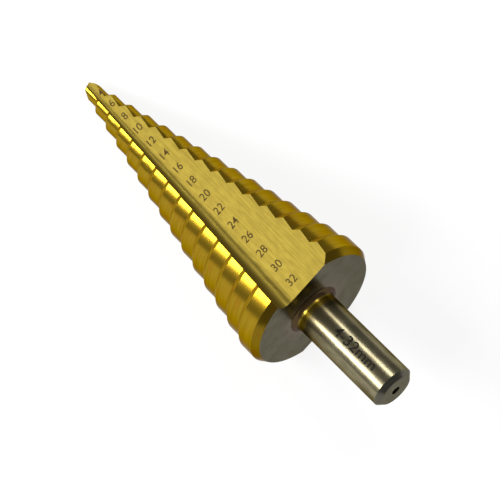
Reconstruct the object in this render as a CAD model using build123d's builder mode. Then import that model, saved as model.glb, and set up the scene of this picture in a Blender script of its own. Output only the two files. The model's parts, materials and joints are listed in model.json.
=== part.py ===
from build123d import *
import os
from math import acos, asin, cos, degrees, radians, sin, tan

# Step drill for sheet metal, 4 to 32 mm by 2 mm, on a 10 mm round shank.
# The drill is modelled upright, tip down, with its axis on Z and Z = 0 at the front rim
# of the largest step. It is then laid down on the two edges of its lower flute.

# --- driving dimensions, millimetres and degrees ---
smallest_diameter = 4.0
largest_diameter = 32.0
diameter_step = 2.0
step_length = 5.0          # from the rim of one step to the rim of the next
tip_length = 6.6           # from the point to the rim of the second step
last_step_length = 5.75    # from the rim of the largest step to the rear face
shoulder_length = 1.3      # axial length of the cone that leads up to each rim
relief_lead = 1.95         # the rims recede by this much per turn behind each cutting edge

rear_chamfer_depth = 1.1
rear_chamfer_length = 1.65
shank_diameter = 10.0
shank_length = 25.65
shank_chamfer = 1.1
shank_root_length = 1.5     # the cove at the root of the shank, along the axis
shank_root_width = 1.25     # and across the rear face
centre_hole_diameter = 2.05
centre_hole_depth = 3.0

flute_count = 2
floor_height = 10.7        # distance from the axis to the flute's floor at Z = 0
floor_slope = 7.93         # the floor climbs away from the axis towards the shank
rake_offset = 3.25         # distance from the axis to the flute's rake wall at Z = 0
rake_slope = 2.5           # the wall meets the axis near the point
flute_angle = 88.8         # between the floor and the rake wall
root_radius_front = 0.7    # the radius between floor and wall grows towards the shank
root_radius_rear = 2.6

point_angle = 118.0
lip_relief = 12.0
lip_width = 0.7            # width of the first facet behind each lip
heel_clearance = 60.0      # steep second facet behind the first

# --- derived sizes ---
largest_radius = largest_diameter / 2
smallest_radius = smallest_diameter / 2
rise = diameter_step / 2
taper = rise / step_length
step_count = 1 + round((largest_radius - smallest_radius) / rise)
first_rim_z = -(step_count - 2) * step_length
point_z = first_rim_z - tip_length
rear_z = last_step_length
shank_end_z = rear_z + shank_length
shank_radius = shank_diameter / 2

# Angles are measured about the axis. The floor of the first flute faces 90 degrees.
floor_facing = 90.0
rake_direction = flute_angle
floor_climb = tan(radians(floor_slope))
rake_climb = tan(radians(rake_slope))


def rim_z(radius):
    """Height of the rim of the step that has this radius, at its cutting edge."""
    return (radius - largest_radius) / rise * step_length


def cutting_edge_angle(radius, z):
    """Angle at which the rake wall cuts a circle of this radius."""
    return rake_direction + 90 - degrees(acos((rake_offset + rake_climb * z) / radius))


def heel_angle(radius, z):
    """Angle at which the flute's floor cuts a circle of this radius."""
    return floor_facing - degrees(acos((floor_height + floor_climb * z) / radius))


def flute_root(z):
    """Corner between the flute's floor and its rake wall at this height."""
    floor_y = floor_height + floor_climb * z
    wall = radians(rake_direction)
    return Vector((floor_y * cos(wall) - rake_offset - rake_climb * z) / sin(wall), floor_y)


# --- steps of one lobe: a stair profile carried round the axis on a short, flat helix ---
core_depth = 1.2           # the core stays this far inside the line of the rims
band_depth = 2.2           # the band of steps reaches this far inside it
lobe_sweep = 150.0
lobe_lead_in = 8.0         # the band starts this many degrees before the cutting edge
lobe_start = cutting_edge_angle(largest_radius, 0) - lobe_lead_in
point_reach = smallest_diameter   # half width of the region that the point's facets span
flute_overrun = 2.0               # the notches run on past both ends of the head
second_radius = smallest_radius + rise
overrun = 1.0              # stock that the rear face and its chamfer are cut from
band_rear_z = rear_z + overrun


def core_radius(z, depth=core_depth):
    """Radius of the straight cone that lies this far inside the line of the rims."""
    return largest_radius + taper * z - depth


stair = [(core_radius(band_rear_z, band_depth), band_rear_z), (largest_radius, band_rear_z)]
for index in range(step_count - 1):
    radius = largest_radius - index * rise
    stair += [(radius, rim_z(radius)), (radius - rise, rim_z(radius) - shoulder_length)]
inner_drop = 0.5           # the first shoulder runs on into the core by this much
stair[-1] = (
    smallest_radius - inner_drop * rise,
    rim_z(second_radius) - (1 + inner_drop) * shoulder_length,
)

with BuildPart() as lobe_steps:
    with BuildLine() as relief_path:
        Helix(relief_lead, relief_lead * lobe_sweep / 360, largest_radius)
    with BuildSketch(Plane.XZ):
        with BuildLine():
            Polyline(*stair, close=True)
        make_face()
    sweep(path=relief_path.line, is_frenet=True)

# --- the drill, upright ---
core_front_z = (smallest_radius + core_depth - largest_radius) / taper

with BuildPart() as upright:
    with BuildSketch(Plane.XZ):
        with BuildLine():
            Polyline(
                (0, point_z),
                (smallest_radius, point_z),
                (smallest_radius, core_front_z),
                (core_radius(band_rear_z), band_rear_z),
                (0, band_rear_z),
                close=True,
            )
        make_face()
    revolve(axis=Axis.Z)
    with PolarLocations(0, flute_count, start_angle=lobe_start):
        add(lobe_steps.part)

    # rear face and its chamfer
    with BuildSketch(Plane.XZ):
        with BuildLine():
            Polyline(
                (0, rear_z),
                (largest_radius - rear_chamfer_depth, rear_z),
                (largest_radius, rear_z - rear_chamfer_length),
                (largest_radius + overrun, rear_z - rear_chamfer_length),
                (largest_radius + overrun, band_rear_z + overrun),
                (0, band_rear_z + overrun),
                close=True,
            )
        make_face()
    revolve(axis=Axis.Z, mode=Mode.SUBTRACT)

    # flutes: a notch with a rounded root, lofted along the inclined line of its root
    flute_ends = (
        (point_z - flute_overrun, root_radius_front),
        (rear_z + flute_overrun, root_radius_rear),
    )
    reach = 2 * largest_radius
    wall_side = Vector(reach, 0).rotate(Axis.Z, rake_direction)
    for turn in (0, 180):
        for z, root_radius in flute_ends:
            section_plane = Plane.XY.offset(z).rotated((0, 0, turn))
            with BuildSketch(section_plane) as notch:
                with BuildLine():
                    Polyline(
                        flute_root(z),
                        flute_root(z) + Vector(reach, 0),
                        flute_root(z) + Vector(reach, 0) + wall_side,
                        flute_root(z) + wall_side,
                        close=True,
                    )
                make_face()
                root = section_plane.from_local_coords(flute_root(z))
                fillet(notch.vertices().sort_by_distance(root)[0], root_radius)
        loft(ruled=True, mode=Mode.SUBTRACT)

    # point: behind each lip a narrow facet with little relief, then a steep one
    for turn in (0, 180):
        outward = Vector(1, 0).rotate(Axis.Z, rake_direction + turn)
        lip = outward * sin(radians(point_angle / 2)) + Vector(0, 0, cos(radians(point_angle / 2)))
        across_lip = Plane(
            origin=(0, 0, point_z), x_dir=outward.rotate(Axis.Z, 90), z_dir=lip
        )
        relief_rise = tan(radians(lip_relief))
        heel_rise = tan(radians(heel_clearance))
        with BuildSketch(across_lip):
            with BuildLine():
                Polyline(
                    (-point_reach, -point_reach * relief_rise),
                    (lip_width, lip_width * relief_rise),
                    (point_reach, lip_width * relief_rise + (point_reach - lip_width) * heel_rise),
                    (point_reach, -2 * point_reach),
                    (-point_reach, -2 * point_reach),
                    close=True,
                )
            make_face()
        extrude(amount=2 * point_reach, both=True, mode=Mode.SUBTRACT)

    # shank, with a cove at its root and a centre hole in its end
    with BuildSketch(Plane.XY.offset(rear_z)):
        Circle(shank_radius)
    extrude(amount=shank_length)
    shank_circles = upright.edges(Select.LAST).filter_by(GeomType.CIRCLE).sort_by(Axis.Z)
    chamfer(shank_circles[-1], shank_chamfer)
    with BuildSketch(Plane.XZ):
        with BuildLine():
            cove = EllipticalCenterArc(
                (shank_radius + shank_root_width, rear_z + shank_root_length),
                shank_root_width,
                shank_root_length,
                start_angle=180,
                arc_size=90,
            )
            Polyline(cove @ 0, (shank_radius, rear_z), cove @ 1)
        make_face()
    revolve(axis=Axis.Z)
    with Locations(Plane.XY.offset(shank_end_z)):
        Hole(centre_hole_diameter / 2, depth=centre_hole_depth)


# --- resting place: the lower flute's edges touch the ground at three corners ---
def lower_cutting_corner(radius, z):
    """Corner of the lower flute's cutting edge at this radius and height."""
    return Vector(radius, 0, z).rotate(Axis.Z, 180 + cutting_edge_angle(radius, z))


def lower_heel_corner(radius):
    """Corner where the rim of this radius, drawn back by the relief, ends at the heel."""
    lobe_angle = 180 + heel_angle(radius, rim_z(radius)) - cutting_edge_angle(radius, rim_z(radius))
    z = rim_z(radius) + relief_lead * lobe_angle / 360
    return Vector(radius, 0, z).rotate(Axis.Z, 180 + heel_angle(radius, z))


lip_corner_z = point_z + smallest_radius / tan(radians(point_angle / 2))
expected_corners = (
    lower_cutting_corner(smallest_radius, lip_corner_z),
    lower_heel_corner(largest_radius),
    lower_cutting_corner(largest_radius, rim_z(largest_radius)),
)
lip_corner, heel_corner, rim_corner = (
    Vector(upright.vertices().sort_by_distance(corner)[0]) for corner in expected_corners
)

up = (heel_corner - lip_corner).cross(rim_corner - lip_corner).normalized()
shankward = Vector(0, 0, 1) - up * up.Z
ground = Plane(origin=lip_corner, x_dir=shankward, z_dir=up)
on_ground = ground.to_local_coords(upright.part).bounding_box().center()
ground = ground.shift_origin(ground.from_local_coords((on_ground.X, on_ground.Y, 0)))

with BuildPart() as step_drill:
    with Locations(ground.location.inverse()):
        add(upright.part)

os.makedirs("parts", exist_ok=True)
step_drill.part.label = "step_drill"
export_step(step_drill.part, "parts/step_drill.step")
box = step_drill.part.bounding_box()
print("box", box, "axis slope", degrees(asin(up.Z)), "ground", ground)
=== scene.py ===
import bmesh
import bpy
import json
from collections import namedtuple
from math import cos, hypot, pi, radians, sin, tan
from mathutils import Matrix, Vector


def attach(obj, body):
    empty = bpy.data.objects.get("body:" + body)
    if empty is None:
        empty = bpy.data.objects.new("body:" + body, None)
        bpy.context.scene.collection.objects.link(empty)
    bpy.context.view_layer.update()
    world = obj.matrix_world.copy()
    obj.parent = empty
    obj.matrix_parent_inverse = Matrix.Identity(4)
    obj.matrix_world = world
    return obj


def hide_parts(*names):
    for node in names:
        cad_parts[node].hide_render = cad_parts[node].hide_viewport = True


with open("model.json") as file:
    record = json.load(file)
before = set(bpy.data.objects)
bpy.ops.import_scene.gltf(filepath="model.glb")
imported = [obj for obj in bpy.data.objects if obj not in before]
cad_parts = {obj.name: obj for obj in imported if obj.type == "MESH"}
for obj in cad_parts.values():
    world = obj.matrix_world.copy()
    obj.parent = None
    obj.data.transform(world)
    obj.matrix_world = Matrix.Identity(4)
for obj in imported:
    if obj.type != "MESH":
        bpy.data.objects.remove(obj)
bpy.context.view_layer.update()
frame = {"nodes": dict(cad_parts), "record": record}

MM = 0.001

# --- the drill's own frame, read from its shank: depth runs from the point towards the shank ---
SHANK = frame["record"]["mounts"][0]
AXIS = Vector(SHANK["axis"]).normalized()
SHANK_MIDDLE_DEPTH = 18.775     # mm behind the front rim of the largest step
REAR_DEPTH = 5.75               # the rear face of the stepped head
LAY_ROLL = radians(18.93)       # the upper flute's floor faces this far from straight up
ORIGIN = Vector(SHANK["pos_m"]) - AXIS * SHANK_MIDDLE_DEPTH * MM
LEVEL = Vector((0, 1, 0))
RISE = AXIS.cross(LEVEL)
FACING = RISE * cos(LAY_ROLL) - LEVEL * sin(LAY_ROLL)   # across the axis, out of the flute
ASIDE = FACING.cross(AXIS)                               # across the axis, towards the heel


def round_axis(angle):
    """Direction across the axis, at this many degrees from ASIDE towards FACING."""
    return ASIDE * cos(radians(angle)) + FACING * sin(radians(angle))


def drill_point(across, facing, depth):
    """Point given in millimetres in the drill's own frame."""
    return ORIGIN + (ASIDE * across + FACING * facing + AXIS * depth) * MM


DRILL_MIDDLE = drill_point(0, 0, -15)

# sizes that the drill is ground to, in millimetres: two flutes opposite each other, and the shank
FLOOR_HEIGHT = 10.7
FLOOR_CLIMB = tan(radians(7.93))
RAKE_OFFSET = 3.25
RAKE_CLIMB = tan(radians(2.5))
RAKE_DIRECTION = radians(88.8)
# the painted shade in the flute's root spreads this far from the rake wall
ROOT_SPREAD, ROOT_SPREAD_CLIMB = 1.8, 0.018     # the dark band beside the rake wall
SHANK_RADIUS = 5.0
COVE_LENGTH, COVE_WIDTH = 1.5, 1.25     # hollow at the root of the shank
COVE_ENDS = (6.5, 7.1)          # depths over which the cove's painted shade turns to bare steel
COATING_ENDS = (8.2, 9.6)       # depths over which the last of the coating fades out


# --- camera: close above the drill, rolled so that the drill runs from corner to corner ---
CAMERA_PLACE = Vector((125.126, -87.558, 446.610)) * MM
CAMERA_AIM = Vector((5.439, -0.496, 11.198)) * MM
CAMERA_ROLL = radians(-5.714)
CAMERA_LENS = 154.7
SENSOR_WIDTH = 36.0


def look(place, aim, roll):
    """Matrix of a camera at place that looks at aim, turned by roll about its own view."""
    forward = (aim - place).normalized()
    right = forward.cross(Vector((0, 0, 1))).normalized()
    up = right.cross(forward)
    turned = Matrix((right, up, -forward)).transposed().to_4x4()
    return Matrix.Translation(place) @ turned @ Matrix.Rotation(roll, 4, "Z")


def add_camera():
    data = bpy.data.cameras.new("camera")
    data.lens = CAMERA_LENS
    data.sensor_width = SENSOR_WIDTH
    data.clip_start = 0.01
    camera = bpy.data.objects.new("camera", data)
    camera.matrix_world = look(CAMERA_PLACE, CAMERA_AIM, CAMERA_ROLL)
    bpy.context.scene.collection.objects.link(camera)
    bpy.context.scene.camera = camera


# --- light: two long strip softboxes beside the drill, one bright and one dim, in a grey room ---
SOFTBOX_DISTANCE = 0.6
SOFTBOX_LENGTH = 0.9
SOFTBOX_LEAN = radians(18)      # both stand this far towards the point
ROOM_GREY = 0.24


def add_softbox(name, angle, width, level):
    """Softbox along the drill, at this angle round its axis, with a power that suits its area."""
    toward = round_axis(angle) * cos(SOFTBOX_LEAN) - AXIS * sin(SOFTBOX_LEAN)
    along = (AXIS - toward * AXIS.dot(toward)).normalized()
    data = bpy.data.lights.new(name, "AREA")
    data.shape = "RECTANGLE"
    data.size = width
    data.size_y = SOFTBOX_LENGTH
    data.energy = level * pi * pi * width * SOFTBOX_LENGTH
    lamp = bpy.data.objects.new(name, data)
    turned = Matrix((along.cross(toward), along, toward)).transposed().to_4x4()
    lamp.matrix_world = Matrix.Translation(DRILL_MIDDLE + toward * SOFTBOX_DISTANCE) @ turned
    bpy.context.scene.collection.objects.link(lamp)


def add_light():
    add_softbox("key", angle=120, width=0.15, level=5.3)
    add_softbox("fill", angle=43, width=0.1, level=2.6)
    world = bpy.data.worlds.new("room")
    bpy.context.scene.world = world
    world.use_nodes = True
    world.node_tree.nodes["Background"].inputs["Color"].default_value = (
        ROOM_GREY, ROOM_GREY, ROOM_GREY, 1
    )


# --- procedural metals, laid out in the drill's own frame ---
Place = namedtuple("Place", "depth across facing angle radius")


class Nodes:
    """A material's node tree with short calls to add nodes and link them."""

    def __init__(self, name):
        self.material = bpy.data.materials.new(name)
        self.material.use_nodes = True
        self.tree = self.material.node_tree
        self.shader = self.tree.nodes["Principled BSDF"]
        self.output = self.tree.nodes["Material Output"]

    def add(self, kind, **settings):
        node = self.tree.nodes.new(kind)
        for key, value in settings.items():
            setattr(node, key, value)
        return node

    def feed(self, socket, value):
        """Puts a number, a vector or another node's output into a socket."""
        if isinstance(value, bpy.types.NodeSocket):
            self.tree.links.new(value, socket)
        else:
            socket.default_value = value

    def math(self, operation, first, second=0.0, third=0.0):
        node = self.add("ShaderNodeMath", operation=operation)
        for socket, value in zip(node.inputs, (first, second, third)):
            self.feed(socket, value)
        return node.outputs[0]

    def dot(self, vector, direction):
        node = self.add("ShaderNodeVectorMath", operation="DOT_PRODUCT")
        self.feed(node.inputs[0], vector)
        self.feed(node.inputs[1], tuple(direction))
        return node.outputs["Value"]

    def ramp(self, value, start, end, low=0.0, high=1.0):
        """low where value is start, high where it is end, held beyond both."""
        node = self.add("ShaderNodeMapRange", interpolation_type="SMOOTHSTEP")
        for socket, given in zip(node.inputs, (value, start, end, low, high)):
            self.feed(socket, given)
        return node.outputs[0]

    def mix(self, share, first, second):
        """Colour between first and second."""
        node = self.add("ShaderNodeMix", data_type="RGBA")
        self.feed(node.inputs["Factor"], share)
        self.feed(node.inputs["A"], first)
        self.feed(node.inputs["B"], second)
        return node.outputs["Result"]

    def scaled(self, value, scale):
        return self.math("MULTIPLY", value, scale)

    def noise(self, x, y=0.0, seed=0.0, detail=3.0, roughness=0.5):
        """Noise over x and y, which are already scaled, so that unequal scales draw it out."""
        where = self.add("ShaderNodeCombineXYZ")
        for socket, value in zip(where.inputs, (x, y, seed)):
            self.feed(socket, value)
        node = self.add("ShaderNodeTexNoise")
        node.inputs["Scale"].default_value = 1.0
        node.inputs["Detail"].default_value = detail
        node.inputs["Roughness"].default_value = roughness
        self.feed(node.inputs["Vector"], where.outputs[0])
        return node.outputs["Fac"]

    def drill_frame(self):
        """Place of the shaded point: its depth, across, facing and radius in mm, and its angle."""
        place = self.add("ShaderNodeTexCoord").outputs["Object"]
        offset = self.add("ShaderNodeVectorMath", operation="SUBTRACT")
        self.feed(offset.inputs[0], place)
        self.feed(offset.inputs[1], tuple(ORIGIN))
        depth, across, facing = (
            self.dot(offset.outputs[0], direction / MM) for direction in (AXIS, ASIDE, FACING)
        )
        angle = self.math("ARCTAN2", facing, across)
        squares = self.math("MULTIPLY_ADD", across, across, self.scaled(facing, facing))
        return Place(depth, across, facing, angle, self.math("SQRT", squares))

    def bump(self, height, distance):
        """Roughens the surface by height, over this distance in millimetres."""
        node = self.add("ShaderNodeBump")
        node.inputs["Distance"].default_value = distance * MM
        self.feed(node.inputs["Height"], height)
        self.feed(self.shader.inputs["Normal"], node.outputs[0])


def metal(name, edge_tint):
    """Node tree of a bare metal that reflects edge_tint at a grazing angle."""
    nodes = Nodes(name)
    nodes.shader.inputs["Metallic"].default_value = 1.0
    nodes.shader.inputs["Specular Tint"].default_value = edge_tint
    return nodes


# linear colours: the coating on the steps, the flute's floor, the shank, the faced steel, the
# stains and painted shade, and the characters. An edge colour is what the metal reflects at a
# grazing angle.
GOLD_LIGHT = (0.37, 0.24, 0.018, 1)
GOLD_DEEP = (0.24, 0.135, 0.005, 1)
GOLD_ORANGE = (0.34, 0.15, 0.01, 1)
# painted shade that dims the rear chamfer
GOLD_SHADE = (0.02, 0.012, 0.0, 1)
GOLD_RIM = (0.42, 0.29, 0.03, 1)
GOLD_EDGE = (0.5, 0.44, 0.38, 1)
FLOOR_LIGHT = (0.298, 0.226, 0.037, 1)
FLOOR_DULL = (0.226, 0.164, 0.027, 1)
# painted shade in the flute's root, beside the rake wall
ROOT_SHADE = (0.2, 0.148, 0.026, 1)
FLOOR_EDGE = (0.5, 0.4, 0.25, 1)
STEEL_WARM = (0.26, 0.232, 0.142, 1)
STEEL_DARK = (0.16, 0.141, 0.086, 1)
# the shank's colour towards the head, darker and browner
STEEL_DARKER_NEAR_HEAD = (0.13, 0.104, 0.05, 1)
STEEL_WARM_EDGE = (0.35, 0.32, 0.26, 1)
STEEL_GREY = (0.132, 0.128, 0.101, 1)
STEEL_DULL = (0.1, 0.094, 0.073, 1)
STEEL_GREY_EDGE = (0.6, 0.57, 0.5, 1)
# brown round the shank: partly a stain, partly painted shade and a painted dark reflection of the
# shank
STAIN_AND_SHADE_BROWN = (0.11, 0.08, 0.045, 1)
# painted shade in the hollow at the shank's root
COVE_SHADE_BROWN = (0.08, 0.05, 0.02, 1)
ETCHED_GOLD = ((0.09, 0.055, 0.012, 1), (0.045, 0.025, 0.005, 1))      # light, dark
ETCHED_STEEL = ((0.016, 0.012, 0.008, 1), (0.006, 0.005, 0.003, 1))


def coated_steps(name, shade=1.0, gloss=0.2):
    """Gold coating with marks round the axis and warmer patches, darkened by painted shade where
    shade is below 1.
    """
    nodes = metal(name, GOLD_EDGE)
    place = nodes.drill_frame()
    marks = nodes.noise(nodes.scaled(place.depth, 4.0), place.angle, detail=4.0, roughness=0.6)
    patches = nodes.noise(
        nodes.scaled(place.depth, 0.3), nodes.scaled(place.angle, 2.5), seed=3.0, detail=2.0
    )
    colour = nodes.mix(nodes.ramp(marks, 0.3, 0.8, 0.0, 0.7), GOLD_LIGHT, GOLD_DEEP)
    colour = nodes.mix(nodes.ramp(patches, 0.52, 0.75, 0.0, 0.5), colour, GOLD_ORANGE)
    # painted shade: the colour is dimmed towards GOLD_SHADE
    if shade < 1:
        colour = nodes.mix(1 - shade, colour, GOLD_SHADE)
    nodes.feed(nodes.shader.inputs["Base Color"], colour)
    nodes.feed(nodes.shader.inputs["Roughness"], nodes.ramp(marks, 0.3, 0.7, gloss, gloss + 0.02))
    nodes.bump(marks, 0.0004)
    return nodes.material


def coated_flute(name):
    """Gold coating over fine scratches along the flute, darkened by painted shade into its root,
    where it is also duller.
    """
    nodes = metal(name, FLOOR_EDGE)
    place = nodes.drill_frame()
    scratches = nodes.noise(
        nodes.scaled(place.depth, 0.1), nodes.scaled(place.across, 2.6), detail=4.0, roughness=0.7
    )
    mottling = nodes.noise(
        nodes.scaled(place.depth, 0.35), nodes.scaled(place.across, 0.9), seed=5.0
    )
    wear = nodes.math("MULTIPLY_ADD", scratches, 0.6, nodes.scaled(mottling, 0.4))
    side = nodes.math("SIGN", place.facing)
    off_wall = nodes.math(
        "MULTIPLY_ADD", nodes.scaled(place.across, side), sin(RAKE_DIRECTION),
        nodes.math(
            "MULTIPLY_ADD", nodes.math("ABSOLUTE", place.facing), -cos(RAKE_DIRECTION),
            nodes.math("MULTIPLY_ADD", place.depth, RAKE_CLIMB, RAKE_OFFSET),
        ),
    )
    reach = nodes.math("MULTIPLY_ADD", place.depth, ROOT_SPREAD_CLIMB, ROOT_SPREAD)
    in_root = nodes.ramp(nodes.math("DIVIDE", off_wall, reach), 0.0, 1.0, 1.0, 0.0)
    colour = nodes.mix(nodes.ramp(wear, 0.36, 0.64), FLOOR_LIGHT, FLOOR_DULL)
    # painted shade darkens the floor towards its root beside the rake wall
    colour = nodes.mix(in_root, colour, ROOT_SHADE)
    nodes.feed(nodes.shader.inputs["Base Color"], colour)
    scratched = nodes.ramp(scratches, 0.3, 0.7, 0.44, 0.54)
    dullness = nodes.math("MULTIPLY_ADD", in_root, 0.3, scratched)
    nodes.feed(nodes.shader.inputs["Roughness"], dullness)
    nodes.bump(scratches, 0.005)
    return nodes.material


def ground_face(name, stain_and_shade_radius):
    """Bare steel faced off, with faint rings about the axis, brown round its middle: partly a
    stain, partly painted shade and a painted dark reflection of the shank.
    """
    nodes = metal(name, STEEL_GREY_EDGE)
    place = nodes.drill_frame()
    rings = nodes.noise(nodes.scaled(place.radius, 6.0), roughness=0.7)
    mottling = nodes.noise(
        nodes.scaled(place.across, 0.3), nodes.scaled(place.facing, 0.3), seed=2.0
    )
    wear = nodes.math("MULTIPLY_ADD", rings, 0.3, nodes.scaled(mottling, 0.7))
    colour = nodes.mix(nodes.ramp(wear, 0.35, 0.65), STEEL_GREY, STEEL_DULL)
    # brown round the middle: partly a stain, partly painted shade and a painted dark reflection of
    # the shank
    stain_and_shade = nodes.ramp(
        nodes.math("MULTIPLY_ADD", mottling, 2.0, place.radius),
        stain_and_shade_radius + 0.5, stain_and_shade_radius * 1.4 + 1.5, 1.0, 0.0,
    )
    nodes.feed(nodes.shader.inputs["Base Color"], nodes.mix(stain_and_shade, colour, STAIN_AND_SHADE_BROWN))
    nodes.feed(nodes.shader.inputs["Metallic"], nodes.math("MULTIPLY_ADD", stain_and_shade, -0.6, 1.0))
    nodes.feed(nodes.shader.inputs["Roughness"], nodes.ramp(rings, 0.3, 0.7, 0.24, 0.3))
    nodes.bump(rings, 0.001)
    return nodes.material


def ground_shank(name):
    """Bare steel ground round the axis, with painted shade in the cove at its root, darker towards
    the head, and a rim of gold coating there.
    """
    nodes = metal(name, STEEL_WARM_EDGE)
    place = nodes.drill_frame()
    marks = nodes.noise(
        nodes.scaled(place.depth, 4.0), nodes.scaled(place.angle, 0.8),
        seed=7.0, detail=4.0, roughness=0.6,
    )
    stains = nodes.noise(
        nodes.scaled(place.depth, 0.2), nodes.scaled(place.angle, 2.5), seed=1.0, detail=2.0
    )
    colour = nodes.mix(nodes.ramp(stains, 0.35, 0.65), STEEL_WARM, STEEL_DARK)
    # the shank turns darker and browner towards the head
    darker_near_head = nodes.ramp(nodes.math("MULTIPLY_ADD", stains, 5.0, place.depth), 11.0, 20.0, 0.8, 0.0)
    colour = nodes.mix(darker_near_head, colour, STEEL_DARKER_NEAR_HEAD)
    uneven = nodes.math("MULTIPLY_ADD", stains, 1.5, place.depth)
    colour = nodes.mix(nodes.ramp(uneven, *COATING_ENDS, 1.0, 0.0), colour, GOLD_RIM)
    # the cove at the shank's root is darkened brown: painted shade in the hollow
    bare = nodes.ramp(place.depth, *COVE_ENDS)
    nodes.feed(nodes.shader.inputs["Base Color"], nodes.mix(bare, COVE_SHADE_BROWN, colour))
    nodes.feed(nodes.shader.inputs["Metallic"], nodes.math("MULTIPLY_ADD", bare, 0.3, 0.7))
    nodes.feed(nodes.shader.inputs["Roughness"], nodes.ramp(marks, 0.3, 0.7, 0.23, 0.27))
    nodes.bump(marks, 0.0004)
    return nodes.material


def dark_mark(name, light, dark):
    """Dull burnt surface of an etched character, uneven in depth."""
    nodes = Nodes(name)
    nodes.shader.inputs["Roughness"].default_value = 0.7
    nodes.shader.inputs["Specular IOR Level"].default_value = 0.1
    place = nodes.drill_frame()
    burn = nodes.noise(nodes.scaled(place.depth, 4.0), nodes.scaled(place.across, 4.0))
    colour = nodes.mix(nodes.ramp(burn, 0.35, 0.65), dark, light)
    nodes.feed(nodes.shader.inputs["Base Color"], colour)
    return nodes.material


# --- the drill's surface: the CAD node's faces, welded, with true edges kept sharp ---
SHARP_EDGE = radians(24)
WELD = 0.002                    # mm within which the CAD mesh's corners are one
SLIVER = 0.001                  # mm below which an edge is no edge
FLUTE_SLACK = 0.03              # mm that a flute's facets may lie below its true surface
REAR_SLACK = 0.02               # mm before the rear face that still count as the rear face
SLANTED = 0.3                   # share of a normal along the axis, past which a face is no rim
SQUARE_ON = 0.5                 # and past which it is the end of the shank


def crisp_copy(node, name, edge_angle):
    """Copy of a CAD node whose faces share their corners and shade smoothly up to edge_angle."""
    shell = bmesh.new()
    shell.from_mesh(node.data)
    bmesh.ops.remove_doubles(shell, verts=shell.verts, dist=WELD * MM)
    bmesh.ops.dissolve_degenerate(shell, dist=SLIVER * MM, edges=shell.edges)
    mesh = bpy.data.meshes.new(name)
    shell.to_mesh(mesh)
    shell.free()
    for layer in ("custom_normal", "sharp_face", "sharp_edge"):
        if layer in mesh.attributes:
            mesh.attributes.remove(mesh.attributes[layer])
    mesh.shade_smooth()
    mesh.set_sharp_from_angle(angle=edge_angle)
    piece = bpy.data.objects.new(name, mesh)
    bpy.context.scene.collection.objects.link(piece)
    weighted = piece.modifiers.new("weighted", "WEIGHTED_NORMAL")
    weighted.keep_sharp = True
    weighted.weight = 100
    return piece


def in_flute(across, facing, depth):
    """Whether a point on the drill's surface lies on a flute's floor, root or rake wall."""
    for side in (1, -1):
        above_floor = side * facing - FLOOR_HEIGHT - FLOOR_CLIMB * depth
        off_wall = (
            side * across * sin(RAKE_DIRECTION) - side * facing * cos(RAKE_DIRECTION)
            + RAKE_OFFSET + RAKE_CLIMB * depth
        )
        if above_floor > -FLUTE_SLACK and off_wall > -FLUTE_SLACK:
            return True
    return False


def surface_kind(centre, normal):
    """Name of the surface that a face of the drill belongs to."""
    offset = (centre - ORIGIN) / MM
    depth, across, facing = offset.dot(AXIS), offset.dot(ASIDE), offset.dot(FACING)
    rearward = normal.dot(AXIS)
    if depth < REAR_DEPTH - REAR_SLACK:
        if in_flute(across, facing, depth):
            return "flute"
        if rearward > SLANTED:
            return "rear_chamfer"
        return "shoulders" if rearward < -SLANTED else "steps"
    if hypot(across, facing) > SHANK_RADIUS + COVE_WIDTH:
        return "rear_face"
    if rearward > SQUARE_ON and depth > REAR_DEPTH + 2 * COVE_LENGTH:
        return "shank_end"
    return "shank"


def add_drill():
    drill = crisp_copy(frame["nodes"]["step_drill"], "drill", SHARP_EDGE)
    metals = {
        "steps": coated_steps("coated_steps"),
        "shoulders": coated_steps("coated_shoulders", gloss=0.45),
        # the rear chamfer's gold is dimmed by painted shade
        "rear_chamfer": coated_steps("coated_chamfer", shade=0.6),
        "flute": coated_flute("coated_flute"),
        "rear_face": ground_face("ground_rear", SHANK_RADIUS + COVE_WIDTH),
        "shank": ground_shank("ground_shank"),
        "shank_end": ground_face("turned_end", 0.0),
    }
    order = list(metals)
    for kind in order:
        drill.data.materials.append(metals[kind])
    for face in drill.data.polygons:
        face.material_index = order.index(surface_kind(face.center, face.normal))
    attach(drill, "root")
    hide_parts("step_drill")


# --- etched numbers: flat outlines laid on the flute's floor and bent round the shank ---
# in millimetres, where no share is named
NUMBER_HEIGHT = 2.1
NUMBER_WIDTH = 0.85             # as a share of the font's own width
NUMBER_BEHIND_RIM = 2.4
FIRST_NUMBER, LAST_NUMBER, NUMBER_STEP = 4, 32, 2
FIRST_NUMBER_SHIFT = 0.8        # the 4 stands this much nearer the shank, off the tip's end
STEP_LENGTH = 5.0
ROW_DEPTH, ROW_ACROSS = -65, 1.3        # where the row of numbers begins
ROW_SPREAD = 0.0165             # mm that the row moves across for each mm along the drill
CAP_HEIGHT = 0.729              # of a capital in the font, at size 1
STROKE_SPREAD = 0.007           # each stroke's growth, as a share of the height
LIFT = 0.03                     # the characters stand this far off the metal
MARKING_ANGLE = radians(80)
MARKING_DEPTH = 20.5
MARKING_HEIGHT = 2.4
MARKING_WIDTH = 1.1             # as a share of the font's own width
MARKING_SLICES = 12             # bands that let the marking bend round the shank


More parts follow.
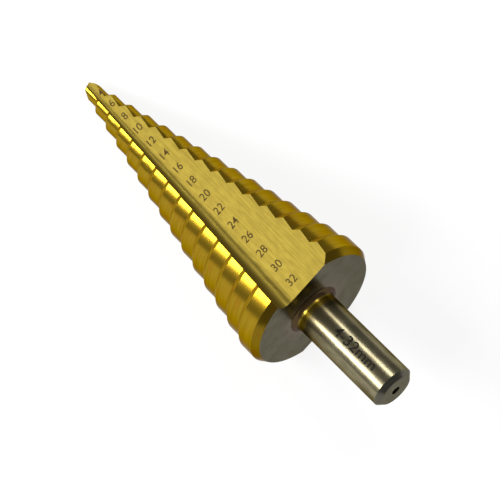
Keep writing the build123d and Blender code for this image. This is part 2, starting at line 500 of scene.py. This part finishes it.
def outline(text, height, slices=1):
    """Flat outline of a text, sliced level with its lines, as (points in mm, faces)."""
    curve = bpy.data.curves.new("outline", "FONT")
    curve.body = text
    curve.align_x = "CENTER"
    curve.align_y = "CENTER"
    curve.size = height / CAP_HEIGHT
    curve.offset = STROKE_SPREAD * height
    shape = bpy.data.objects.new("outline", curve)
    mesh = bpy.data.meshes.new_from_object(shape)
    shell = bmesh.new()
    shell.from_mesh(mesh)
    bmesh.ops.remove_doubles(shell, verts=shell.verts, dist=SLIVER)
    for step in range(1, slices):
        level = height * (step / slices - 0.5)
        whole = list(shell.verts) + list(shell.edges) + list(shell.faces)
        bmesh.ops.bisect_plane(shell, geom=whole, plane_co=(0, level, 0), plane_no=(0, 1, 0))
    shell.verts.index_update()
    points = [vertex.co.copy() for vertex in shell.verts]
    faces = [[vertex.index for vertex in face.verts] for face in shell.faces]
    shell.free()
    bpy.data.objects.remove(shape)
    bpy.data.curves.remove(curve)
    bpy.data.meshes.remove(mesh)
    return points, faces


def add_mark(name, points, faces, material):
    mesh = bpy.data.meshes.new(name)
    mesh.from_pydata(points, [], faces)
    mesh.materials.append(material)
    mark = bpy.data.objects.new(name, mesh)
    bpy.context.scene.collection.objects.link(mark)
    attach(mark, "root")


def add_floor_numbers(material):
    for number in range(FIRST_NUMBER, LAST_NUMBER + 1, NUMBER_STEP):
        depth = (number - LAST_NUMBER) / NUMBER_STEP * STEP_LENGTH + NUMBER_BEHIND_RIM
        if number == FIRST_NUMBER:
            depth += FIRST_NUMBER_SHIFT
        across = ROW_ACROSS + (depth - ROW_DEPTH) * ROW_SPREAD
        points, faces = outline(str(number), NUMBER_HEIGHT)
        placed = []
        for point in points:
            down = depth - point.y
            facing = FLOOR_HEIGHT + FLOOR_CLIMB * down + LIFT
            placed.append(drill_point(across + point.x * NUMBER_WIDTH, facing, down))
        add_mark(f"size_{number}", placed, faces, material)


def add_shank_marking(material):
    points, faces = outline("4-32mm", MARKING_HEIGHT, MARKING_SLICES)
    placed = []
    for point in points:
        angle = MARKING_ANGLE - point.y / SHANK_RADIUS
        reach = SHANK_RADIUS + LIFT
        depth = MARKING_DEPTH + point.x * MARKING_WIDTH
        placed.append(drill_point(reach * cos(angle), reach * sin(angle), depth))
    add_mark("shank_range", placed, faces, material)


# --- floor: white to the camera and in reflections, with the drill's soft shadow ---
FLOOR_HALF = 3.0
FLOOR_GLOW = 0.85               # share of the floor's white that is glow, the rest takes the shadow
FLOOR_WHITE = (0.9, 0.9, 0.9, 1)


def add_floor():
    mesh = bpy.data.meshes.new("floor")
    around = ((-1, -1), (1, -1), (1, 1), (-1, 1))
    corners = [(x * FLOOR_HALF, y * FLOOR_HALF, 0) for x, y in around]
    mesh.from_pydata(corners, [], [(0, 1, 2, 3)])
    floor = bpy.data.objects.new("floor", mesh)
    bpy.context.scene.collection.objects.link(floor)
    nodes = Nodes("floor")
    nodes.shader.inputs["Base Color"].default_value = FLOOR_WHITE
    nodes.shader.inputs["Roughness"].default_value = 0.9
    glow = nodes.add("ShaderNodeEmission")
    rays = nodes.add("ShaderNodeLightPath").outputs
    seen = nodes.math("MAXIMUM", rays["Is Camera Ray"], rays["Is Glossy Ray"])
    seen = nodes.math("MAXIMUM", seen, rays["Is Transmission Ray"])
    mix = nodes.add("ShaderNodeMixShader")
    nodes.feed(mix.inputs[0], nodes.math("MULTIPLY", seen, FLOOR_GLOW))
    nodes.feed(mix.inputs[1], nodes.shader.outputs[0])
    nodes.feed(mix.inputs[2], glow.outputs[0])
    nodes.feed(nodes.output.inputs["Surface"], mix.outputs[0])
    mesh.materials.append(nodes.material)


add_camera()
add_light()
add_drill()
add_floor_numbers(dark_mark("etched_gold", *ETCHED_GOLD))
add_shank_marking(dark_mark("etched_steel", *ETCHED_STEEL))
add_floor()
bpy.context.scene.view_settings.view_transform = "Standard"
